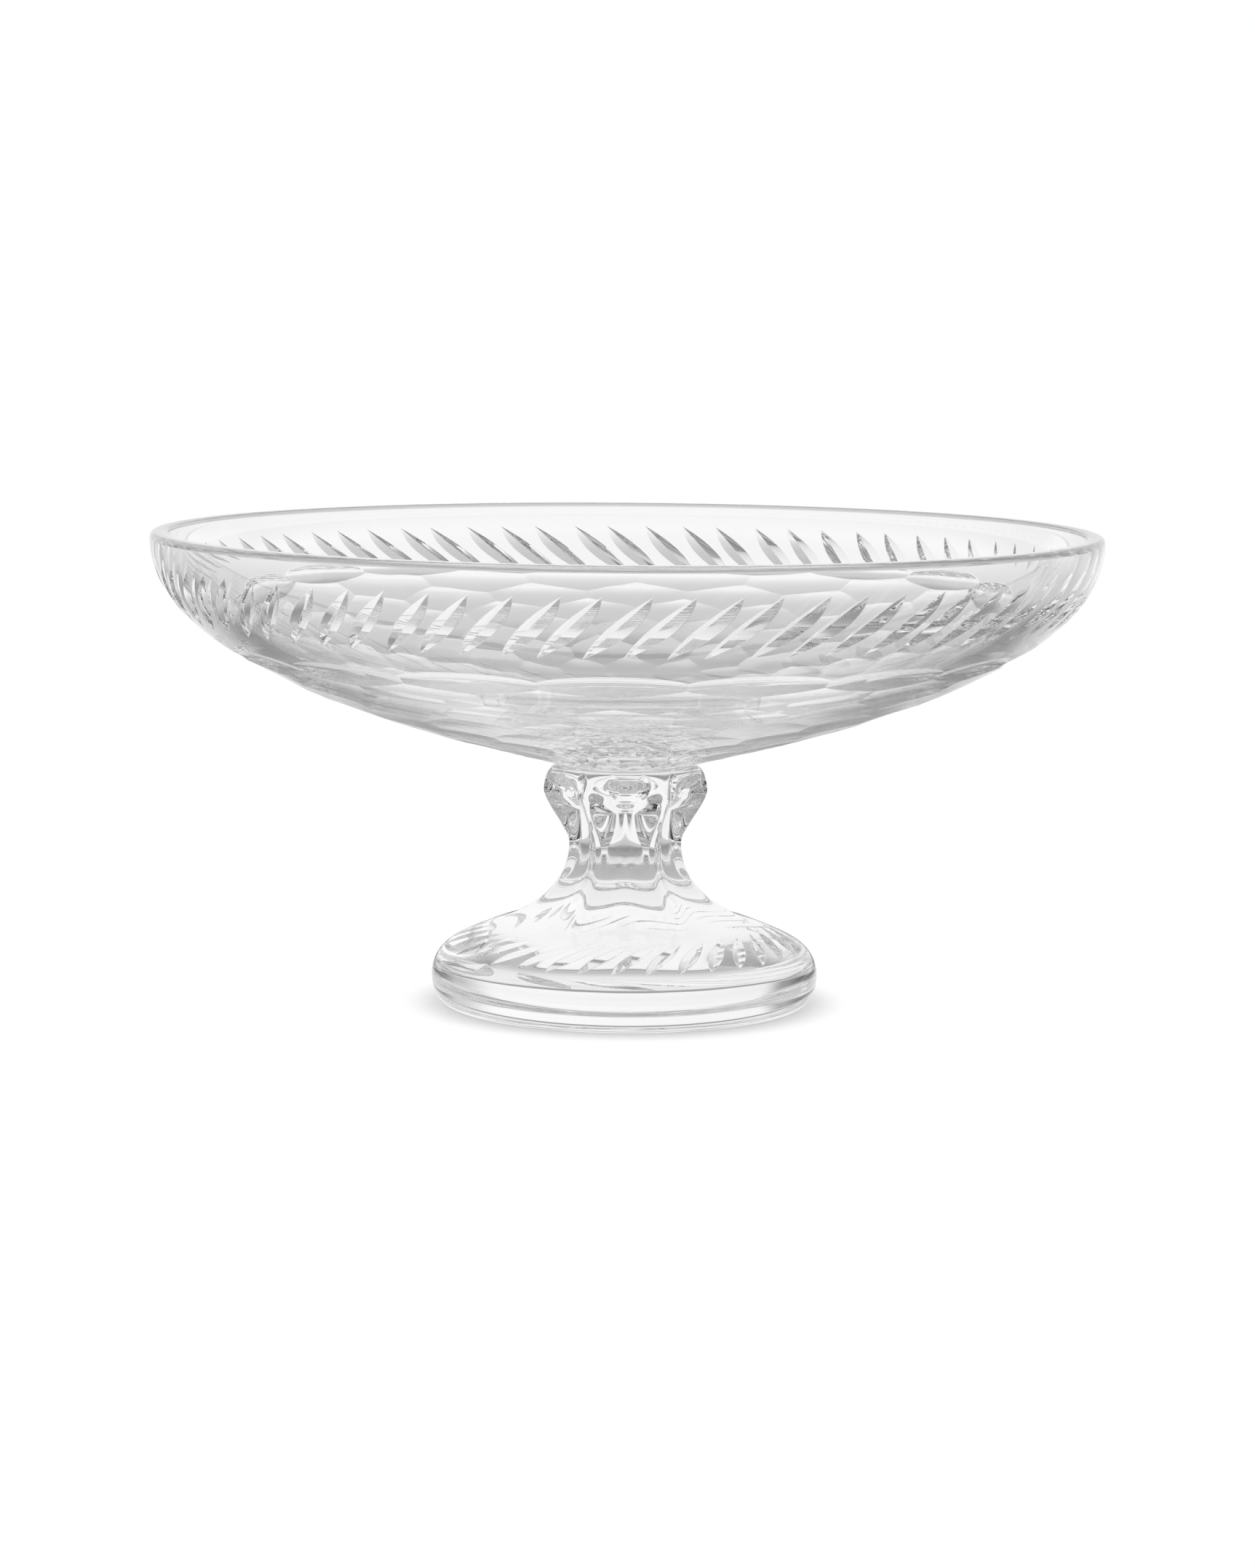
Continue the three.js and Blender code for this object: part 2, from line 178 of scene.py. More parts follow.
class PedestalSizes(bpy.types.PropertyGroup):
    """Sizes of the stem and foot and of the cuts on them, over the ridges."""

    height: length("Height", "Height of the pedestal", 76.4)
    top_radius: length("Top radius", "Radius of the flat top", 21.5)
    knop_radius: length("Knop radius", "Radius of the knop", 26)
    knop_height: length("Knop height", "Height at which the knop is widest", 68.3)
    knop_fall: length("Knop fall", "Pull of the curve under the knop", 4.2)
    waist_rise: length("Waist rise", "Pull of the curve over the waist", 4)
    waist_radius: length("Waist radius", "Radius of the waist", 17.8)
    waist_height: length("Waist height", "Height of the waist", 51.3)
    waist_fall: length("Waist fall", "Pull of the curve under the waist", 22.2)
    dome_reach: length("Dome reach", "Pull of the curve over the shoulder", 12)
    dome_slope: angle("Dome slope", "Slope of the dome at the shoulder", 35.2)
    shoulder_radius: length("Shoulder radius", "Radius where the dome meets the foot's edge", 56.4)
    shoulder_height: length("Shoulder height", "Height of that place", 18.7)
    foot_radius: length("Foot radius", "Widest radius of the foot", 61.5)
    foot_edge: length("Foot edge", "Height at which the foot is widest", 9)
    contact_radius: length("Contact radius", "Radius of the flat underside", 56)
    flutes: count("Flutes", "Flutes round the stem", 6)
    flute_share: share("Flute share", "Depth of a flute as a share of the radius", 0.25)
    flute_round: share("Flute roundness", "How far the ridges are rounded", 0.2)
    flute_full: length("Flute full radius", "Radius on the dome inside which a flute is full", 20)
    flute_end: length("Flute end radius", "Radius on the dome where a flute ends", 44)
    flute_wheel: length("Flute wheel", "Radius that a flute follows above the waist", 60)
    flute_fade: length("Flute fade height", "Height where the flutes begin to grow shallow", 62)
    flute_top: length("Flute top height", "Height of the upper edge of the flutes", 67)
    knop_share: share("Knop share", "Share of a flute's depth left on the knop", 0.65)
    olives: count("Olives", "Upright leaf cuts round the knop", 15)
    olive_turn: angle("Olive turn", "Azimuth of the first olive", 14.12)
    olive_middle: length("Olive middle", "Distance of an olive's middle down from the top's edge", 6.2)
    olive_depth: length("Olive depth", "Depth of an olive's crease", 1.2)
    olive_angle: angle("Olive angle", "Angle between the faces of an olive", 130)
    olive_wheel: length("Olive wheel", "Radius of the wheel of an olive", 30)
    leaves: count("Leaves", "Leaf cuts round the foot", 34)
    leaf_radius: length("Leaf radius", "Radius at the middle of a leaf", 50.8)
    leaf_slant: angle("Leaf slant", "Slant of a leaf from level", 48)
    leaf_depth: length("Leaf depth", "Depth of a leaf's crease", 1.35)
    leaf_turn: angle("Leaf turn", "Azimuth of the middle of the first leaf", 13)
    leaf_wheel: length("Leaf wheel", "Radius of the wheel of a leaf", 90)
    mitre_angle: angle("Mitre angle", "Angle between the two faces of a leaf", 116)
    edge: length("Polished edge", "Half width of the soft edge that polishing leaves", 0.15)


class Looks(bpy.types.PropertyGroup):
    """Colours and finish of the glass, and the colour of the floor."""

    glass: colour("Glass", "Tint of the crystal", (0.988, 0.986, 0.986, 1))
    depth_tint: colour("Depth tint", "Tint of thick crystal", (0.92, 0.92, 0.93, 1))
    density: share("Density", "Strength of that tint in a metre", 1.2)
    ior: share("IOR", "Refractive index of lead crystal", 1.545)
    floor: colour("Floor", "Colour of the floor", (0.9, 0.9, 0.9, 1))


def bezier(*handles):
    """A cubic curve by (radius, height) handles: the sum of C(3,i) t^i (1-t)^(3-i) P_i."""
    t = np.linspace(0, 1, CURVE_STEPS)[:, None]
    p = [np.array(h, float) for h in handles]
    return (1 - t) ** 3 * p[0] + 3 * t * (1 - t) ** 2 * p[1] + 3 * t**2 * (1 - t) * p[2] + t**3 * p[3]


def quarter(start, end, level):
    """A quarter round from start to end, which leaves start level or upright."""
    corner = (end[0], start[1]) if level else (start[0], end[1])
    pull = 0.5523
    first = [a + pull * (b - a) for a, b in zip(start, corner)]
    second = [a + pull * (b - a) for a, b in zip(end, corner)]
    return bezier(start, first, second, end)


class Profile:
    """A chain of (radius, height) points by the distance s along it, with its tangent."""

    def __init__(self, points):
        step = np.hypot(*np.diff(points, axis=0).T)
        keep = np.append(True, step > 1e-9)
        self.points = points[keep]
        self.s = np.append(0, np.cumsum(np.hypot(*np.diff(self.points, axis=0).T)))
        self.end = self.s[-1]
        self.tangent = np.gradient(self.points, self.s, axis=0)
        self.tangent /= np.linalg.norm(self.tangent, axis=1)[:, None]

    def at(self, s):
        """Radius, height and the two parts of the tangent at a distance."""
        r, z = (np.interp(s, self.s, self.points[:, i]) for i in (0, 1))
        tr, tz = (np.interp(s, self.s, self.tangent[:, i]) for i in (0, 1))
        return r, z, tr, tz

    def where_first(self, height):
        """The first distance at which the profile has come down to a height."""
        return float(self.s[np.argmax(self.points[:, 1] <= height)])


def around(r, z, theta):
    """Points at a radius, height and azimuth. Azimuth 0 faces -Y and grows towards +X."""
    r, z, theta = np.broadcast_arrays(r, z, theta)
    return np.stack([r * np.sin(theta), -r * np.cos(theta), z], axis=-1)


def halve(function, low, high):
    """The place between low and high at which a falling function passes zero, for whole arrays at once."""
    for _ in range(SEARCH_STEPS):
        middle = (low + high) / 2
        above = function(middle) > 0
        low = np.where(above, middle, low)
        high = np.where(above, high, middle)
    return (low + high) / 2


class Leaf:
    """A V cut across a profile. In the cut's own frame, with a along it, w across it and h out of the glass,
    its two faces are h = c(a) + |w| / tan(half angle), and its crease is c(a) = R - depth - sqrt(R^2 - a^2)
    for a wheel of radius R."""

    def __init__(self, profile, middle, slant, depth, mitre, wheel=1e3):
        self.profile = profile
        r, z, tr, tz = (float(v) for v in profile.at(middle))
        self.middle = np.array([0, -r, z])
        self.out = np.array([0, tz, tr])
        down = np.array([0, -tr, tz])
        self.along = np.array([math.cos(slant), 0, 0]) - down * math.sin(slant)
        self.across = np.cross(self.out, self.along)
        self.depth = depth
        self.spread = math.tan(mitre / 2)
        self.wheel = wheel

    def face(self, s, theta, side):
        """How deep one face lies under the glass, along the glass's normal."""
        r, z, tr, tz = self.profile.at(s)
        offset = around(r, z, theta) - self.middle
        normal = around(-tz, tr, theta)
        a, w, h = (offset @ v for v in (self.along, self.across, self.out))
        reach = np.maximum(self.wheel**2 - a**2, 0)
        crease = self.wheel - self.depth - np.sqrt(reach)
        slope = normal @ self.out - side * (normal @ self.across) / self.spread
        return (h - crease - side * w / self.spread) / np.maximum(slope, LEAST_SLOPE)

    def cut(self, s, theta):
        """How deep the cut lies under the glass, which is below zero outside it."""
        return np.minimum(self.face(s, theta, 1), self.face(s, theta, -1))

    def lines(self, s, reach):
        """Azimuths of the crease and of the two edges at each distance s."""
        start = np.full_like(s, -reach)
        crease = halve(lambda t: self.face(s, t, -1) - self.face(s, t, 1), start, -start)
        if np.mean(self.face(s, crease + 0.01, -1) - self.face(s, crease + 0.01, 1)) > 0:
            crease = halve(lambda t: self.face(s, t, 1) - self.face(s, t, -1), start, -start)
        right = halve(lambda t: self.cut(s, t), crease, crease + reach)
        left = halve(lambda t: self.cut(s, crease - t), np.zeros_like(s), np.full_like(s, reach))
        inside = self.cut(s, crease) > 0
        return crease, np.where(inside, left, 0), np.where(inside, right - crease, 0), inside

    def span(self, low, high, reach):
        """The distances of the two tips."""
        s = np.linspace(low, high, TIP_STEPS)
        inside = self.lines(s, reach)[3]
        return s[inside][0], s[inside][-1]

    def lines_between(self, s, tips, reach):
        """The crease and the widths to its left and right at each distance, with no width past the tips."""
        crease, left, right, _ = self.lines(np.clip(s, *tips), reach)
        past = (s < tips[0]) | (s > tips[1])
        return crease, np.where(past, 0, left), np.where(past, 0, right)


def from_tip_to_tip(tips, margin, rows):
    """Distances that lie closer together towards both tips: half a cosine wave, less a margin at each end."""
    top, bottom = tips
    return top + (bottom - top) * (1 - np.cos(np.linspace(margin, math.pi - margin, rows))) / 2


def leaf_columns(lines, pitch, count, edge):
    """Azimuths of the columns of one leaf in each row: the crease, the faces, both sides of each polished
    edge, and the plain glass up to the next leaf. lines holds the crease and the widths to its sides."""
    crease, left, right = lines
    least = 0.4 * edge
    left, right = np.maximum(left, least), np.maximum(right, least)
    soft_left, soft_right = np.minimum(edge, 0.3 * left), np.minimum(edge, 0.3 * right)
    faces = (count - 6) // 4
    inner = np.arange(1, faces + 1) / (faces + 1)
    stations = [np.zeros_like(crease)]
    stations += [f * (right - soft_right) for f in inner]
    stations += [right - soft_right, right + edge]
    plain = count - 5 - 2 * faces
    gap = pitch - right - left - 2 * edge
    stations += [right + edge + gap * f for f in np.arange(1, plain + 1) / (plain + 1)]
    stations += [pitch - left - edge, pitch - left + soft_left]
    stations += [pitch - f * (left - soft_left) for f in inner[::-1]]
    return crease[:, None] + np.stack(stations, axis=1)


def smooth(x, low, high):
    """0 below low, 1 above high, and 3u^2 - 2u^3 between."""
    u = np.clip((x - low) / (high - low), 0, 1)
    return u * u * (3 - 2 * u)


def normals(surface, s, theta, side=1):
    """Unit normals of P(s, theta), from its differences over some hundredths of a millimetre."""
    step, turn = 0.005 * MM, 1e-4
    along = surface(s + step, theta) - surface(s - step, theta)
    across = surface(s, theta + turn) - surface(s, theta - turn)
    normal = side * np.cross(along, across)
    return normal / np.linalg.norm(normal, axis=-1, keepdims=True)


class Shell:
    """Rings of points, from one pole to the other, and the faces between them."""

    def __init__(self):
        self.points = []
        self.places = []
        self.faces = []
        self.slots = []
        self.sheets = []
        self.total = 0
        self.last = None
        self.sheet = None

    def add(self, rings, slot=0, places=None, sheet=None):
        """Adds rings of shape (rows, columns, 3), each joined to the one before it. A ring of one column is a
        pole, and a ring may have twice as many columns as the one before it. places holds the distance and
        azimuth of each point on a sheet, a function that gives normals."""
        if places is None:
            places = np.zeros(rings.shape[:2] + (2,))
        for ring, place in zip(rings, places):
            count = len(ring)
            index = self.total + np.arange(count)
            self.points.append(ring)
            self.places.append(place)
            self.total += count
            if self.last is not None:
                self.faces.append(self.join(self.last, index))
                self.slots.append(slot)
                self.sheets.append(sheet if sheet is self.sheet else None)
            self.last = index
            self.sheet = sheet

    def join(self, a, b):
        """Faces between two rings of point numbers."""
        if len(a) == 1:
            return np.stack([np.broadcast_to(a, len(b)), b, np.roll(b, -1)], axis=1)
        if len(b) == 1:
            return np.stack([a, np.broadcast_to(b, len(a)), np.roll(a, -1)], axis=1)
        if len(a) == len(b):
            return np.stack([a, b, np.roll(b, -1), np.roll(a, -1)], axis=1)
        even, odd = b[0::2], b[1::2]
        return np.stack([a, even, odd, np.roll(even, -1), np.roll(a, -1)], axis=1)

    def corners(self):
        """Normals at the corners of the faces. Each is read from its sheet a little way in from the corner,
        so that creases stay sharp and wide faces stay true. Zeros leave a corner to Blender."""
        places = np.concatenate(self.places)
        found = []
        for block, sheet in zip(self.faces, self.sheets):
            normal = np.zeros(block.shape + (3,))
            if sheet:
                at = places[block]
                at[..., 1] -= 2 * math.pi * np.round((at[..., 1] - at[:, :1, 1]) / (2 * math.pi))
                at += CORNER_INSET * (at.mean(axis=1, keepdims=True) - at)
                normal = sheet(at[..., 0], at[..., 1])
            found.append(normal.reshape(-1, 3))
        return np.concatenate(found)

    def make(self, name, materials):
        """The object, with its faces' slots and its corners' normals."""
        mesh = bpy.data.meshes.new(name)
        faces = [row for block in self.faces for row in block.tolist()]
        mesh.from_pydata(np.concatenate(self.points).tolist(), [], faces)
        slots = np.concatenate([np.full(len(b), s, np.int32) for b, s in zip(self.faces, self.slots)])
        mesh.polygons.foreach_set("material_index", slots)
        mesh.polygons.foreach_set("use_smooth", np.ones(len(faces), bool))
        for material in materials:
            mesh.materials.append(material)
        mesh.validate()
        if any(self.sheets):
            mesh.normals_split_custom_set(self.corners())
        piece = bpy.data.objects.new(name, mesh)
        bpy.context.scene.collection.objects.link(piece)
        return piece


def pole(z):
    """A ring of one point on the axis."""
    return np.array([[[0.0, 0.0, z]]])


def bowl_wall(size):
    """The outside of the bowl from the eased edge to the seat."""
    start = size.rim_height - size.rim_ease
    seat = (size.seat_radius, size.seat_height)
    reach = (
        seat[0] + size.under_reach * math.cos(size.under_slope),
        seat[1] + size.under_reach * math.sin(size.under_slope),
    )
    return Profile(bezier((size.rim_radius, start), (size.rim_radius, start - size.wall_drop), reach, seat))


class Hollows:
    """Rows of hollows on the underside. A hollow in row i is d_i - x^2 / (2 A_i) - (s - s_i)^2 / (2 B_i)
    deep, with x = r_i sin(azimuth from its middle), and the glass is cut to the deepest of them. Two rows
    meet where their depths are the same, so a line of the grid follows each ridge."""

    def __init__(self, size, wall):
        rows = int((wall.end - size.row_pitch / 2 - size.row_start) / size.row_pitch) + 1
        self.count = size.hollows
        self.middle = np.append(size.ring_middle, size.row_start + size.row_pitch * np.arange(rows))
        self.depth = np.append(size.ring_depth, np.full(rows, size.row_depth))
        self.radius = np.append(size.ring_radius, np.full(rows, size.row_radius))
        self.turn = size.ring_turn + np.arange(rows + 1) * math.pi / size.hollows
        self.r = wall.at(self.middle)[0]
        half = self.r * math.sin(math.pi / size.hollows)
        self.level = half**2 / (2 * (size.row_depth - size.row_ridge))
        self.level[0] = size.ring_level
        self.last = wall.end - 5 * size.edge

    def side(self, row, theta):
        """Depth of a row on its middle line."""
        pitch = 2 * math.pi / self.count
        turn = theta - self.turn[row]
        x = self.r[row] * np.sin(turn - pitch * np.round(turn / pitch))
        return self.depth[row] - x**2 / (2 * self.level[row])

    def row(self, row, s, theta):
        """Depth of a row at a distance down the wall."""
        return self.side(row, theta) - (s - self.middle[row]) ** 2 / (2 * self.radius[row])

    def cut(self, s, theta):
        """Depth of the deepest row."""
        deepest = np.max([self.row(i, s, theta) for i in range(len(self.middle))], axis=0)
        return np.maximum(deepest, 0)

    def borders(self, theta):
        """Distances down the wall of the first edge, of each meeting of two rows and of the last edge."""
        first = self.middle[0] - np.sqrt(2 * self.radius[0] * np.maximum(self.side(0, theta), 0))
        found = [first]
        for i in range(len(self.middle) - 1):
            low = np.full_like(theta, self.middle[i])
            high = np.full_like(theta, self.middle[i + 1])
            found.append(halve(lambda s: self.row(i, s, theta) - self.row(i + 1, s, theta), low, high))
        last = self.middle[-1] + np.sqrt(2 * self.radius[-1] * np.maximum(self.side(-1, theta), 0))
        found.append(np.minimum(last, self.last))
        return found


class BowlOutside:
    """The outside from the eased edge to the seat: P(s, theta) = wall(s) - normal(s) cut(s, theta)."""

    def __init__(self, size):
        self.size = size
        self.wall = bowl_wall(size)
        self.hollows = Hollows(size, self.wall)
        self.pitch = 2 * math.pi / size.leaves
        self.leaf = Leaf(self.wall, size.leaf_middle, size.leaf_slant, size.leaf_depth, size.mitre_angle)
        self.reach = 2 * self.pitch
        self.tips = self.leaf.span(0, 2 * size.leaf_middle, self.reach)
        self.rows = np.linspace(*self.tips, CREASE_STEPS)
        self.crease = self.leaf.lines(self.rows, self.reach)[0]

    def turn(self, index):
        """Azimuth of the middle of a leaf, which is a little off its place, as in cutting by hand."""
        off = self.size.leaf_stagger * np.sin(STAGGER_STEP * (index % self.size.leaves))
        return self.size.leaf_turn + self.pitch * index + off

    def leaf_cut(self, s, theta):
        """Depth of the nearest leaf."""
        off = theta - np.interp(s, self.rows, self.crease)
        index = np.round((off - self.size.leaf_turn) / self.pitch)
        cut = np.maximum(self.leaf.cut(s, theta - self.turn(index)), 0)
        return np.where((s > self.tips[0]) & (s < self.tips[1]), cut, 0)

    def points(self, s, theta):
        """P(s, theta) on the wall less its cuts."""
        s, theta = np.broadcast_arrays(s, theta)
        r, z, tr, tz = self.wall.at(s)
        cut = np.maximum(self.leaf_cut(s, theta), self.hollows.cut(s, theta))
        cut = np.where(s < self.wall.end, cut, 0)
        return around(r, z, theta) - around(-tz, tr, theta) * cut[..., None]

    def normals(self, s, theta):
        return normals(self.points, s, theta)

    def grid(self):
        """Distances and azimuths of the points, in lines that follow the leaves and the hollows' ridges."""
        size = self.size
        top, bottom = self.tips
        per_leaf = 8
        columns = size.leaves * per_leaf
        above = np.linspace(0, top - 0.3 * MM, 4)
        below = bottom + np.array([0.3, 1.2, 2.6, 4.2, 6.0, 7.5]) * MM
        s = np.concatenate([above, from_tip_to_tip(self.tips, 0.04, 40), below])
        lines = self.leaf.lines_between(s, self.tips, self.reach)
        edge = 0.75 * size.edge / size.rim_radius
        turns = self.turn(np.arange(size.leaves))
        gaps = np.diff(np.append(turns, turns[0] + 2 * math.pi))
        theta = [leaf_columns(lines, gap, per_leaf, edge) + turn for gap, turn in zip(gaps, turns)]
        theta = np.concatenate(theta, axis=1)
        ridge = math.pi / size.hollows
        per_ridge = columns // (2 * size.hollows)
        spread = np.concatenate([[0.012], np.linspace(0.07, 0.93, per_ridge - 2), [0.988]])
        even = (np.arange(2 * size.hollows)[:, None] + spread).reshape(-1) * ridge + size.ring_turn
        even += ridge * np.round((theta[-1, 0] - even[0]) / ridge)
        plain = np.linspace(theta[0, 0], theta[0, 0] + 2 * math.pi, columns, endpoint=False)
        to_plain = smooth(top - s, 0, 3 * MM)[:, None]
        to_even = smooth(s - bottom, 0, 7 * MM)[:, None]
        theta = theta + to_plain * (plain - theta) + to_even * (even - theta)
        borders = self.hollows.borders(even)
        soft = size.edge
        ring_soft = 1.6 * soft
        rows = [s[:, None] + np.zeros_like(theta)]
        start = rows[0][-1]
        rows.append(start + (borders[0] - ring_soft - start) * np.array([0.45, 0.8, 1])[:, None])
        for i, (one, two) in enumerate(zip(borders[:-1], borders[1:])):
            lines_across = 13 if i == 0 else 8
            low = one + (ring_soft if i == 0 else soft)
            rows.append(low + (two - soft - low) * np.linspace(0, 1, lines_across)[:, None])
        collar = borders[-1] + soft
        rows.append(collar + (self.wall.end - collar) * np.array([0, 0.5, 1])[:, None])
        s_all = np.concatenate(rows)
        theta_all = np.concatenate([theta, np.broadcast_to(even, (len(s_all) - len(s), columns))])
        return s_all, theta_all


def make_bowl(size, looks):
    """The bowl: its inside from the axis to the rim, the rounded rim, its cut outside and the seat."""
    outside = BowlOutside(size)
    distance, theta = outside.grid()
    shell = Shell()
    first, last = theta[0], theta[-1]
    inner = size.rim_radius - size.rim_wall
    top = size.rim_height
    floor = size.floor_height
    handles = ((inner, top), (inner, top - size.inside_drop), (size.inside_reach, floor), (0, floor))
    inside = Profile(bezier(*handles))
    half = first[::2]
    rings = np.linspace(inside.end, RIM_INSIDE_START, INSIDE_RINGS)[1:, None]
    s, half_all = np.broadcast_arrays(rings, half)

    def within(s, theta):
        r, z, _, _ = inside.at(s)
        return around(r, z, theta)

    def faces_in(s, theta):
        return normals(within, s, theta, -1)

    shell.add(pole(floor))
    shell.add(within(s, half_all), 0, np.stack([s, half_all], axis=-1), faces_in)
    round_in = np.array(RIM_ROUND_IN) * MM + [inner, top]
    shell.add(around(round_in[:, :1], round_in[:, 1:], half))
    round_out = np.array(RIM_ROUND_OUT) * MM + [size.rim_radius, top]
    shell.add(around(round_out[:, :1], round_out[:, 1:], first))
    shell.add(outside.points(distance, theta), 0, np.stack([distance, theta], axis=-1), outside.normals)
    seat = np.array([0.98, 0.5])[:, None] * size.seat_radius
    shell.add(around(seat[:1], size.seat_height, last))
    shell.add(around(seat[1:], size.seat_height, last), 1)
    shell.add(pole(size.seat_height), 1)
    return shell.make("crystal_bowl", [crystal_material(looks), bond_material()])


def pedestal_profile(size):
    """The profile over the ridges, from the top's edge to the underside's edge."""
    knop = (size.knop_radius, size.knop_height)
    waist = (size.waist_radius, size.waist_height)
    shoulder = (size.shoulder_radius, size.shoulder_height)
    edge = (size.foot_radius, size.foot_edge)
    back = (
        shoulder[0] - size.dome_reach * math.cos(size.dome_slope),
        shoulder[1] + size.dome_reach * math.sin(size.dome_slope),
    )
    turn = (edge[0], shoulder[1] - (edge[0] - shoulder[0]) * math.tan(size.dome_slope))
    over = [(a + 2 * b) / 3 for a, b in zip(shoulder, turn)]
    under = [(a + 2 * b) / 3 for a, b in zip(edge, turn)]
    curves = [
        quarter((size.top_radius, size.height), knop, True),
        bezier(knop, (knop[0], knop[1] - size.knop_fall), (waist[0], waist[1] + size.waist_rise), waist),
        bezier(waist, (waist[0], waist[1] - size.waist_fall), back, shoulder),
        bezier(shoulder, over, under, edge),
        quarter(edge, (size.contact_radius, 0), False),
    ]
    return Profile(np.concatenate(curves))


def softened(depth, edge):
    """A cut's depth where it is inside the glass, with its edge eased: (d + sqrt(d^2 + e^2)) / 2."""
    return (depth + np.sqrt(depth**2 + edge**2)) / 2


class PedestalSide:
    """The side of the pedestal between the edges of its top and underside: the fluted blank less its cuts."""

    def __init__(self, size):
        self.size = size
        self.profile = profile = pedestal_profile(size)
        on_dome = (profile.points[:, 1] < size.waist_height) & (profile.points[:, 1] > size.shoulder_height)
        middle = float(np.interp(size.leaf_radius, profile.points[on_dome, 0], profile.s[on_dome]))
        self.pitch = 2 * math.pi / size.leaves
        self.reach = 3 * self.pitch
        self.leaf = Leaf(profile, middle, size.leaf_slant, size.leaf_depth, size.mitre_angle, size.leaf_wheel)
        longest = 16 * MM
        self.tips = self.leaf.span(middle - longest, middle + longest, self.reach)
        self.rows = np.linspace(*self.tips, CREASE_STEPS)
        self.crease = self.leaf.lines(self.rows, self.reach)[0]
        self.band = profile.where_first(size.flute_fade)
        self.olive = Leaf(
            profile, size.olive_middle, math.pi / 2, size.olive_depth, size.olive_angle, size.olive_wheel
        )

    def fluted(self, ridge, z, theta):
        """The radius R - d w in a flute, with w = (sqrt(cos(n t / 2)^2 + e^2) - e) / (sqrt(1 + e^2) - e). The
        depth d is k R on the dome, where it fades out. Over the waist it takes the middle of the flute to
        a (1 - k) + (z - h)^2 / (2 q), for the waist's radius a and height h and the wheel's radius q. It is
        less on the knop and nothing at the top."""
        size = self.size
        e = size.flute_round
        wave = np.sqrt(np.cos(size.flutes * theta / 2) ** 2 + e**2) - e
        wave /= math.sqrt(1 + e**2) - e
        on_dome = size.flute_share * ridge * (1 - smooth(ridge, size.flute_full, size.flute_end))
        over = z - size.waist_height
        on_stem = ridge - size.waist_radius * (1 - size.flute_share) - over**2 / (2 * size.flute_wheel)
        on_stem = on_stem * (1 - (1 - size.knop_share) * smooth(z, size.flute_fade, size.flute_top))
        on_stem = on_stem * (1 - smooth(z, size.knop_height, size.height))
        return ridge - np.where(over < 0, on_dome, on_stem) * wave

    def cut(self, s, theta):
        """Depth of the nearest leaf on the foot and of the nearest olive on the knop."""
        size = self.size
        off = theta - np.interp(s, self.rows, self.crease) - size.leaf_turn
        turned = theta - size.leaf_turn - self.pitch * np.round(off / self.pitch)
        on_leaf = (s > self.tips[0]) & (s < self.tips[1])
        leaf = np.where(on_leaf, np.maximum(self.leaf.cut(s, turned), 0), 0)
        gap = 2 * math.pi / size.olives
        turned = theta - size.olive_turn
        turned = turned - gap * np.round(turned / gap)
        olive = softened(self.olive.cut(s, turned), 0.8 * size.edge)
        return leaf + np.where((s > 0) & (s < self.band), olive, 0)

    def points(self, s, theta):
        """P(s, theta) = fluted(s, theta) - normal(s) cut(s, theta)."""
        s, theta = np.broadcast_arrays(s, theta)
        r, z, tr, tz = self.profile.at(s)
        blank = around(self.fluted(r, z, theta), z, theta)
        return blank - around(-tz, tr, theta) * self.cut(s, theta)[..., None]

    def normals(self, s, theta):
        return normals(self.points, s, theta)

    def grid(self):
        """Distances and azimuths of the points: even round the stem, and along the leaves on the foot."""
        size, pitch = self.size, self.pitch
        top, bottom = self.tips
        per_leaf = 15
        columns = size.leaves * per_leaf
        knop = np.linspace(0, self.band, 44)
        stem = np.linspace(self.band, top - 0.3 * MM, 62)[1:]
        foot = np.linspace(bottom + 0.3 * MM, self.profile.end, 30)
        s = np.concatenate([knop, stem, from_tip_to_tip(self.tips, 0.05, 30), foot])
        lines = self.leaf.lines_between(s, self.tips, self.reach)
        first = leaf_columns(lines, pitch, per_leaf, size.edge / size.leaf_radius)
        turns = size.leaf_turn + pitch * np.arange(size.leaves)
        theta = (first[:, None, :] + turns[:, None]).reshape(len(s), columns)
        step = 2 * math.pi / columns
        even = np.arange(columns) * step
        even += step * np.round((theta[0, 0] - even[0]) / step)
        plain = np.linspace(theta[-1, 0], theta[-1, 0] + 2 * math.pi, columns, endpoint=False)
        to_even = smooth(top - s, 0, 9 * MM)[:, None]
        to_plain = smooth(s - bottom, 0, 4 * MM)[:, None]
        theta = theta + to_even * (even - theta) + to_plain * (plain - theta)
        return np.broadcast_to(s[:, None], theta.shape), theta


def make_pedestal(size, looks, seat_radius):
    """The pedestal: its flat top, its cut side and its flat underside."""
    side = PedestalSide(size)
    distance, theta = side.grid()
    shell = Shell()
    shell.add(pole(size.height))
    disc = np.array([0.5, 1.0])[:, None] * seat_radius
    shell.add(around(disc, size.height, theta[0]), 1)
    shell.add(side.points(distance, theta), 0, np.stack([distance, theta], axis=-1), side.normals)
    under = np.array([0.97, 0.5])[:, None] * size.contact_radius
    shell.add(around(under, 0, theta[-1]))
    shell.add(pole(0))
    return shell.make("crystal_pedestal", [crystal_material(looks), bond_material()])


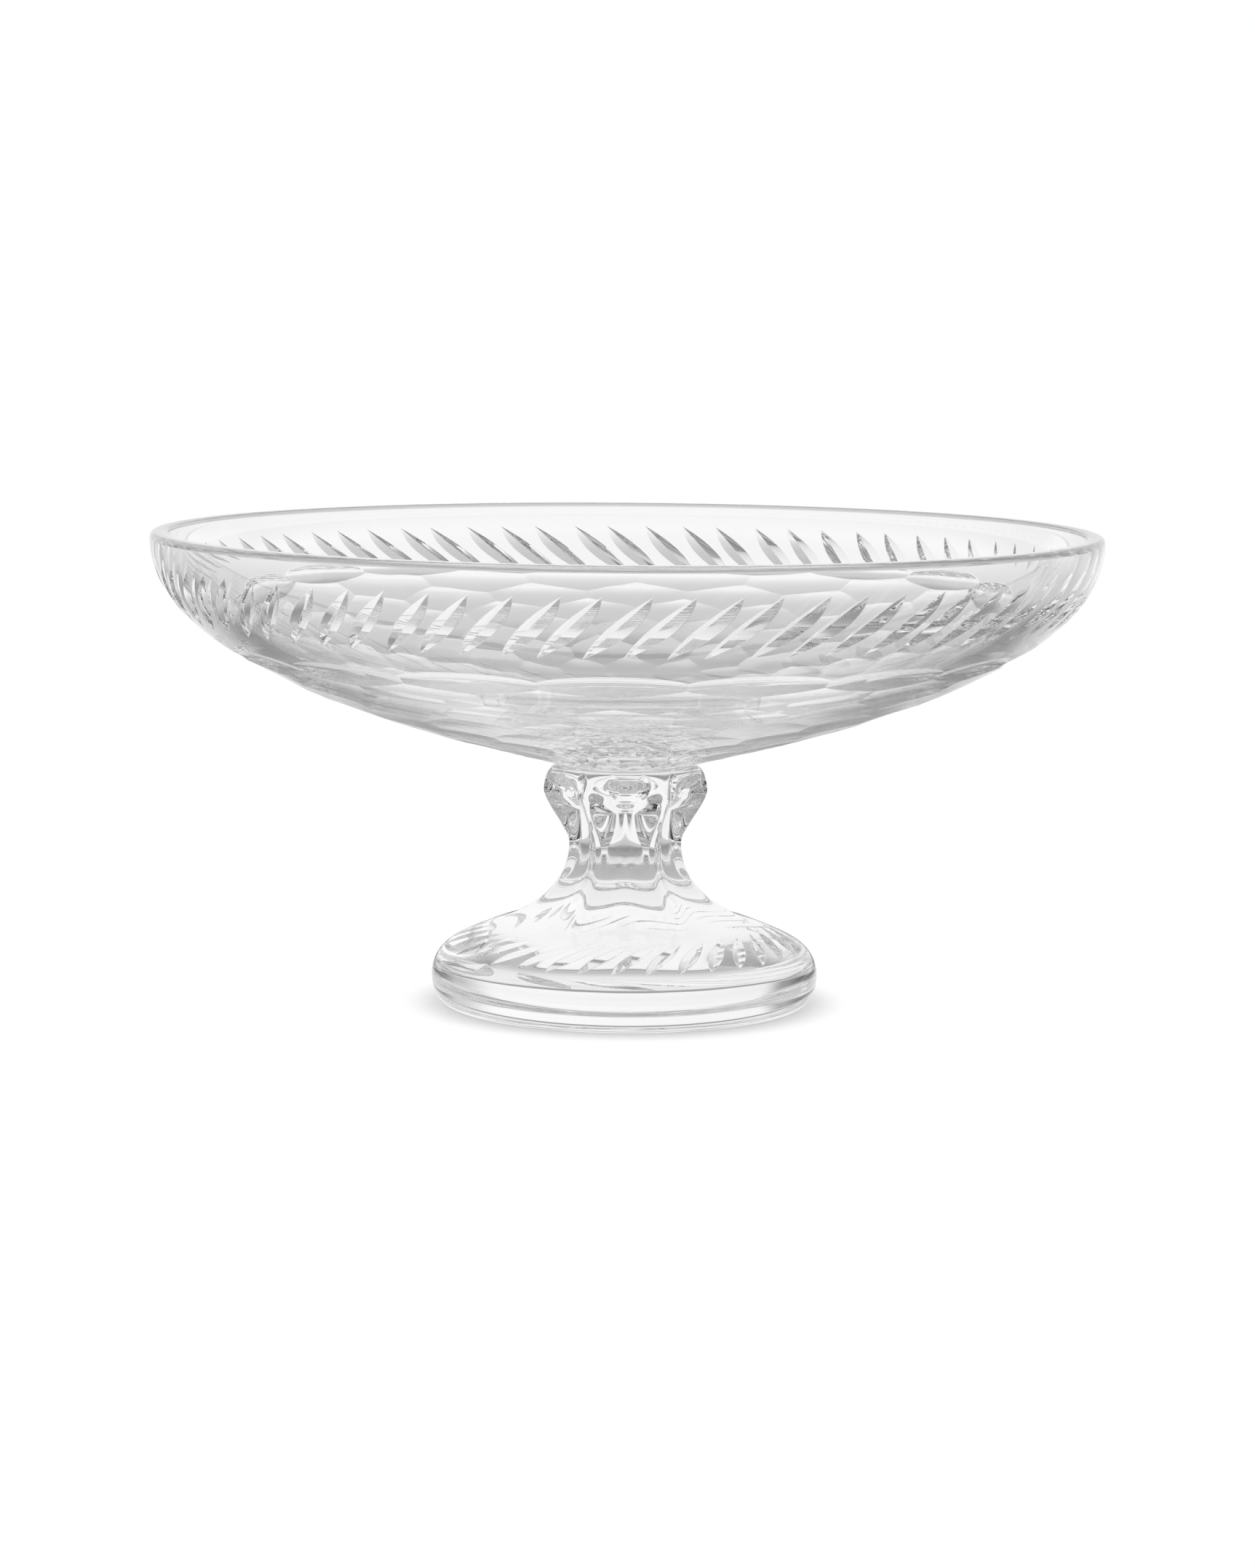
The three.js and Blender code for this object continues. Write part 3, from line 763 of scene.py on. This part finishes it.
def make_cement(bowl, pedestal, looks):
    """A closed disc: level top and bottom, and a side that bulges by b sin(pi u) between them."""
    theta = np.linspace(0, 2 * math.pi, CEMENT_COLUMNS, endpoint=False)
    u = np.linspace(0, 1, CEMENT_RINGS)[:, None]
    r = bowl.seat_radius * CEMENT_SHARE + CEMENT_BULGE * np.sin(np.pi * u)
    z = bowl.seat_height + (pedestal.height - bowl.seat_height) * u
    shell = Shell()
    shell.add(pole(bowl.seat_height))
    shell.add(around(r[:1], z[:1], theta), 1)
    shell.add(around(r[1:], z[1:], theta))
    shell.add(pole(pedestal.height), 1)
    return shell.make("cement_bond", [crystal_material(looks), bond_material()])


def nodes_of(name):
    """A new material with its node tree and the tree's output."""
    material = bpy.data.materials.new(name)
    material.use_nodes = True
    tree = material.node_tree
    tree.nodes.clear()
    return material, tree, tree.nodes.new("ShaderNodeOutputMaterial")


def crystal_material(looks):
    """Clear lead crystal with a faint tint in its depth and the slight unevenness of hand polishing."""
    if "Crystal" in bpy.data.materials:
        return bpy.data.materials["Crystal"]
    material, tree, output = nodes_of("Crystal")
    shader = tree.nodes.new("ShaderNodeBsdfPrincipled")
    shader.inputs["Base Color"].default_value = looks.glass
    shader.inputs["Transmission Weight"].default_value = 1
    shader.inputs["IOR"].default_value = looks.ior
    shader.inputs["Roughness"].default_value = 0
    coordinates = tree.nodes.new("ShaderNodeTexCoord")
    waves = tree.nodes.new("ShaderNodeTexNoise")
    waves.inputs["Scale"].default_value = POLISH_SCALE
    waves.inputs["Detail"].default_value = 1
    bump = tree.nodes.new("ShaderNodeBump")
    bump.inputs["Strength"].default_value = POLISH_STRENGTH
    bump.inputs["Distance"].default_value = POLISH_DEPTH
    tree.links.new(coordinates.outputs["Object"], waves.inputs["Vector"])
    tree.links.new(waves.outputs["Fac"], bump.inputs["Height"])
    tree.links.new(bump.outputs["Normal"], shader.inputs["Normal"])
    absorb = tree.nodes.new("ShaderNodeVolumeAbsorption")
    absorb.inputs["Color"].default_value = looks.depth_tint
    absorb.inputs["Density"].default_value = looks.density
    tree.links.new(shader.outputs["BSDF"], output.inputs["Surface"])
    tree.links.new(absorb.outputs["Volume"], output.inputs["Volume"])
    return material


def bond_material():
    """The faces inside the bond, through which light passes from glass to cement without being bent."""
    if "Bond" in bpy.data.materials:
        return bpy.data.materials["Bond"]
    material, tree, output = nodes_of("Bond")
    clear = tree.nodes.new("ShaderNodeBsdfTransparent")
    tree.links.new(clear.outputs["BSDF"], output.inputs["Surface"])
    return material


def math_node(tree, operation, *values):
    """A sum of one kind on the given sockets."""
    node = tree.nodes.new("ShaderNodeMath")
    node.operation = operation
    for socket, value in zip(node.inputs, values):
        tree.links.new(value, socket)
    return node.outputs[0]


def seen(tree):
    """1 for rays from the camera and for those that glass has reflected or let through."""
    path = tree.nodes.new("ShaderNodeLightPath")
    total = path.outputs["Is Camera Ray"]
    for name in ("Is Glossy Ray", "Is Transmission Ray"):
        total = math_node(tree, "MAXIMUM", total, path.outputs[name])
    return path, total


def ranged(tree, value, start, end):
    """A value carried smoothly from one range to another."""
    node = tree.nodes.new("ShaderNodeMapRange")
    node.interpolation_type = "SMOOTHSTEP"
    node.inputs["From Min"].default_value, node.inputs["From Max"].default_value = start
    node.inputs["To Min"].default_value, node.inputs["To Max"].default_value = end
    tree.links.new(value, node.inputs["Value"])
    return node.outputs["Result"]


def graded(tree, value, stops):
    """A grey level by a value from -1 to 1, through (value, level) stops."""
    share = tree.nodes.new("ShaderNodeMapRange")
    share.inputs["From Min"].default_value = -1
    share.inputs["From Max"].default_value = 1
    tree.links.new(value, share.inputs["Value"])
    ramp = tree.nodes.new("ShaderNodeValToRGB")
    ramp.color_ramp.interpolation = "EASE"
    elements = ramp.color_ramp.elements
    while len(elements) < len(stops):
        elements.new(0.5)
    for element, (place, level) in zip(elements, stops):
        element.position = (place + 1) / 2
        element.color = (level, level, level, 1)
    tree.links.new(share.outputs["Result"], ramp.inputs["Fac"])
    return ramp.outputs["Color"]


def floor_material(looks):
    """Pale floor that keeps the shadow round the object and turns to plain white away from it. Glass sees it
    instead as an emission with painted light and shade by the distance from the axis.
    """
    material, tree, output = nodes_of("Floor")
    diffuse = tree.nodes.new("ShaderNodeBsdfDiffuse")
    diffuse.inputs["Color"].default_value = looks.floor
    # This emission is plain white to the camera and carries the painted light and shade that glass sees
    white = tree.nodes.new("ShaderNodeEmission")
    path, shown = seen(tree)
    place = tree.nodes.new("ShaderNodeNewGeometry")
    distance = tree.nodes.new("ShaderNodeVectorMath")
    distance.operation = "LENGTH"
    tree.links.new(place.outputs["Position"], distance.inputs[0])
    # Glass sees the floor as an emission at these grey levels: a painted shadow under the foot, painted light
    # round it and painted shade under the bowl's wall
    level = graded(tree, distance.outputs["Value"], GLASS_FLOOR_PAINTED_LIGHT_AND_SHADE)
    white_or_painted_shade = math_node(tree, "MAXIMUM", level, path.outputs["Is Camera Ray"])
    tree.links.new(white_or_painted_shade, white.inputs["Strength"])
    fade = ranged(tree, distance.outputs["Value"], SHADOW_ENDS, SHADOW_WHITE)
    mix = tree.nodes.new("ShaderNodeMixShader")
    to_camera = math_node(tree, "MULTIPLY", fade, path.outputs["Is Camera Ray"])
    to_glass = math_node(tree, "SUBTRACT", shown, path.outputs["Is Camera Ray"])
    tree.links.new(math_node(tree, "ADD", to_camera, to_glass), mix.inputs["Fac"])
    tree.links.new(diffuse.outputs["BSDF"], mix.inputs[1])
    tree.links.new(white.outputs["Emission"], mix.inputs[2])
    tree.links.new(mix.outputs["Shader"], output.inputs["Surface"])
    return material


def make_floor(looks):
    """A level disc just under the object, with its azimuths run backwards so that it faces up."""
    theta = np.linspace(0, -2 * math.pi, FLOOR_COLUMNS, endpoint=False)
    shell = Shell()
    shell.add(pole(FLOOR_LEVEL))
    shell.add(around(np.array(FLOOR_RINGS)[:, None], FLOOR_LEVEL, theta))
    shell.make("floor", [floor_material(looks)])


def make_world():
    """White to the camera. Glass sees a pale backdrop, a light band overhead, and darker sides and front."""
    world = bpy.data.worlds.new("Studio")
    world.use_nodes = True
    bpy.context.scene.world = world
    tree = world.node_tree
    tree.nodes.clear()
    output = tree.nodes.new("ShaderNodeOutputWorld")
    path, shown = seen(tree)
    coordinates = tree.nodes.new("ShaderNodeTexCoord")
    parts = tree.nodes.new("ShaderNodeSeparateXYZ")
    tree.links.new(coordinates.outputs["Generated"], parts.inputs["Vector"])
    across = graded(tree, parts.outputs["X"], SIDES)
    along = graded(tree, parts.outputs["Y"], FRONT_TO_BACK)
    above = graded(tree, parts.outputs["Z"], CEILING)
    walls = math_node(tree, "MULTIPLY", across, along)
    room = math_node(tree, "MAXIMUM", walls, above)
    glass_sees = tree.nodes.new("ShaderNodeBackground")
    tree.links.new(room, glass_sees.inputs["Color"])
    level = tree.nodes.new("ShaderNodeBackground")
    level.inputs["Color"].default_value = (1, 1, 1, 1)
    level.inputs["Strength"].default_value = ROOM_LEVEL
    white = tree.nodes.new("ShaderNodeBackground")
    white.inputs["Color"].default_value = (1, 1, 1, 1)
    mix_glass = tree.nodes.new("ShaderNodeMixShader")
    mix_camera = tree.nodes.new("ShaderNodeMixShader")
    tree.links.new(shown, mix_glass.inputs["Fac"])
    tree.links.new(level.outputs["Background"], mix_glass.inputs[1])
    tree.links.new(glass_sees.outputs["Background"], mix_glass.inputs[2])
    tree.links.new(path.outputs["Is Camera Ray"], mix_camera.inputs["Fac"])
    tree.links.new(mix_glass.outputs["Shader"], mix_camera.inputs[1])
    tree.links.new(white.outputs["Background"], mix_camera.inputs[2])
    tree.links.new(mix_camera.outputs["Shader"], output.inputs["Surface"])


def make_lamp(name, size, energy, place, target):
    """A soft lamp that lights the floor and doesn't show in the glass."""
    lamp = bpy.data.lights.new(name, "AREA")
    lamp.shape = "RECTANGLE"
    lamp.size, lamp.size_y = size
    lamp.energy = energy
    thing = bpy.data.objects.new(name, lamp)
    thing.location = place
    thing.visible_glossy = False
    thing.visible_transmission = False
    thing.rotation_euler = (Vector(target) - Vector(place)).to_track_quat("-Z", "Y").to_euler()
    bpy.context.scene.collection.objects.link(thing)


def make_camera():
    """An upright picture of the whole object, from a little above the rim."""
    camera = bpy.data.cameras.new("camera")
    camera.sensor_fit = "VERTICAL"
    camera.sensor_height = SENSOR_HEIGHT
    camera.lens = FOCAL_PIXELS / PICTURE_PIXELS * SENSOR_HEIGHT
    camera.clip_end = 50
    thing = bpy.data.objects.new("camera", camera)
    thing.location = CAMERA_PLACE
    pitch = Matrix.Rotation(math.radians(90 - CAMERA_FALL), 3, "X")
    roll = Matrix.Rotation(math.radians(CAMERA_ROLL), 3, "Z")
    thing.rotation_euler = (pitch @ roll).to_euler()
    bpy.context.scene.collection.objects.link(thing)
    bpy.context.scene.camera = thing


def settle(piece, node):
    """Puts a piece in the place of its node, on the one body."""
    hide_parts(node)
    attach(piece, "root")


class FOOTEDBOWL_OT_bowl(bpy.types.Operator):
    """Make the cut bowl"""

    bl_idname = "footedbowl.bowl"
    bl_label = "Make bowl"

    def execute(self, context):
        settle(make_bowl(context.scene.footed_bowl, context.scene.footed_looks), "bowl")
        return {"FINISHED"}


class FOOTEDBOWL_OT_pedestal(bpy.types.Operator):
    """Make the fluted pedestal"""

    bl_idname = "footedbowl.pedestal"
    bl_label = "Make pedestal"

    def execute(self, context):
        scene = context.scene
        piece = make_pedestal(scene.footed_pedestal, scene.footed_looks, scene.footed_bowl.seat_radius)
        settle(piece, "pedestal")
        return {"FINISHED"}


class FOOTEDBOWL_OT_cement(bpy.types.Operator):
    """Make the film of clear cement"""

    bl_idname = "footedbowl.cement"
    bl_label = "Make cement"

    def execute(self, context):
        scene = context.scene
        piece = make_cement(scene.footed_bowl, scene.footed_pedestal, scene.footed_looks)
        settle(piece, "cement_film")
        return {"FINISHED"}


class FOOTEDBOWL_OT_stage(bpy.types.Operator):
    """Make the floor, the light and the camera"""

    bl_idname = "footedbowl.stage"
    bl_label = "Make stage"

    def execute(self, context):
        make_floor(context.scene.footed_looks)
        make_world()
        make_lamp("softbox", size=(0.9, 0.9), energy=6, place=(-0.5, 0.2, 1.3), target=(0, 0, 0.08))
        make_camera()
        context.scene.view_settings.view_transform = "Standard"
        for kind in ("max", "glossy", "transmission", "transparent_max"):
            setattr(context.scene.cycles, kind + "_bounces", LIGHT_BOUNCES)
        return {"FINISHED"}


class FOOTEDBOWL_PT_panel(bpy.types.Panel):
    """Sizes, looks and the steps of the footed bowl"""

    bl_idname = "FOOTEDBOWL_PT_panel"
    bl_label = "Footed Bowl"
    bl_space_type = "VIEW_3D"
    bl_region_type = "UI"
    bl_category = "Footed Bowl"

    def draw(self, context):
        for group in (context.scene.footed_bowl, context.scene.footed_pedestal, context.scene.footed_looks):
            box = self.layout.box()
            for name in group.__annotations__:
                box.prop(group, name)
        for operator in STEPS:
            self.layout.operator(operator.bl_idname)


STEPS = (FOOTEDBOWL_OT_bowl, FOOTEDBOWL_OT_pedestal, FOOTEDBOWL_OT_cement, FOOTEDBOWL_OT_stage)
CLASSES = (BowlSizes, PedestalSizes, Looks, *STEPS, FOOTEDBOWL_PT_panel)


def register():
    for item in CLASSES:
        bpy.utils.register_class(item)
    bpy.types.Scene.footed_bowl = PointerProperty(type=BowlSizes)
    bpy.types.Scene.footed_pedestal = PointerProperty(type=PedestalSizes)
    bpy.types.Scene.footed_looks = PointerProperty(type=Looks)


def unregister():
    del bpy.types.Scene.footed_looks
    del bpy.types.Scene.footed_pedestal
    del bpy.types.Scene.footed_bowl
    for item in reversed(CLASSES):
        bpy.utils.unregister_class(item)


def main():
    register()
    bpy.ops.footedbowl.bowl()
    bpy.ops.footedbowl.pedestal()
    bpy.ops.footedbowl.cement()
    bpy.ops.footedbowl.stage()


if __name__ == "__main__":
    main()
